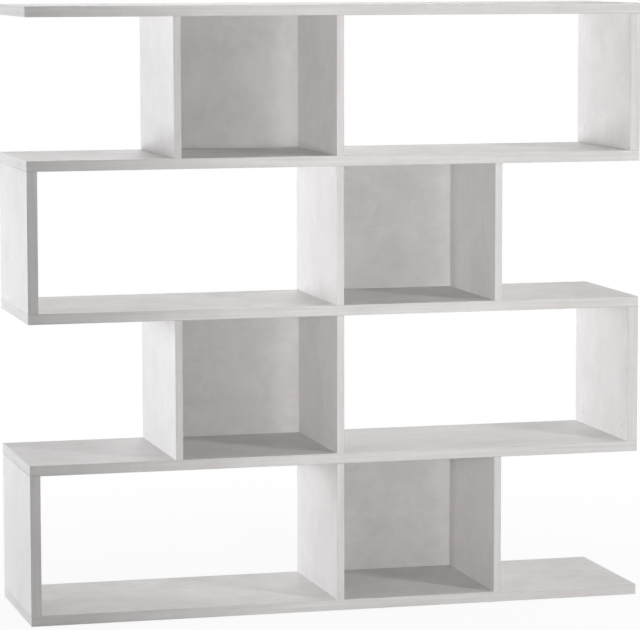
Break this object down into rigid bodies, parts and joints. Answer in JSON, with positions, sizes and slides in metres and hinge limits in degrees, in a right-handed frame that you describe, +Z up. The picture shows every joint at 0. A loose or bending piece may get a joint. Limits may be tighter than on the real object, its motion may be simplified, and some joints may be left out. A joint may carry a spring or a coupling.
{
  "type": "modular bookcase",
  "caption": "Free-standing modular bookcase: long shelves with staggered uprights, so that open bays and backed boxes alternate from tier to tier.",
  "frame": {"origin": "on the floor, under the middle of the case", "axes": "+X to the right along the shelves, +Y to the rear, +Z up"},
  "size_m": [1.5, 0.38, 1.449],
  "materials": {
    "concrete_melamine": "matt light grey concrete-effect melamine on particleboard",
    "edge_band": "matt light grey, printed to match the boards",
    "cap_plastic": "matt light grey",
    "glide_plastic": "satin off-white",
    "zinc": "dull die-cast zinc",
    "plated_steel": "bright zinc plating",
    "beech": "raw wood"
  },
  "bodies": {
    "root": {"shelf_bottom": "concrete_melamine", "shelf_lower": "concrete_melamine", "shelf_middle": "concrete_melamine", "shelf_upper": "concrete_melamine", "shelf_top": "concrete_melamine", "side_left_bottom": "concrete_melamine", "divider_centre_bottom": "concrete_melamine", "divider_right_bottom": "concrete_melamine", "divider_left_lower": "concrete_melamine", "divider_centre_lower": "concrete_melamine", "side_right_lower": "concrete_melamine", "side_left_upper": "concrete_melamine", "divider_centre_upper": "concrete_melamine", "divider_right_upper": "concrete_melamine", "divider_left_top": "concrete_melamine", "divider_centre_top": "concrete_melamine", "side_right_top": "concrete_melamine", "back_bottom": "concrete_melamine", "back_lower": "concrete_melamine", "back_upper": "concrete_melamine", "back_top": "concrete_melamine", "shelf_bottom_edging": "edge_band", "shelf_lower_edging": "edge_band", "shelf_middle_edging": "edge_band", "shelf_upper_edging": "edge_band", "shelf_top_edging": "edge_band", "side_left_bottom_edging": "edge_band", "divider_centre_bottom_edging": "edge_band", "divider_right_bottom_edging": "edge_band", "divider_left_lower_edging": "edge_band", "divider_centre_lower_edging": "edge_band", "side_right_lower_edging": "edge_band", "side_left_upper_edging": "edge_band", "divider_centre_upper_edging": "edge_band", "divider_right_upper_edging": "edge_band", "divider_left_top_edging": "edge_band", "divider_centre_top_edging": "edge_band", "side_right_top_edging": "edge_band", "cam_locks_sides": "zinc", "cam_locks_dividers": "zinc", "connecting_bolts": "plated_steel", "glide_nails": "plated_steel", "cover_caps_sides": "cap_plastic", "cover_caps_dividers": "cap_plastic", "upright_dowels": "beech", "back_dowels": "beech", "floor_glides": "glide_plastic"}
  },
  "joints": []
}
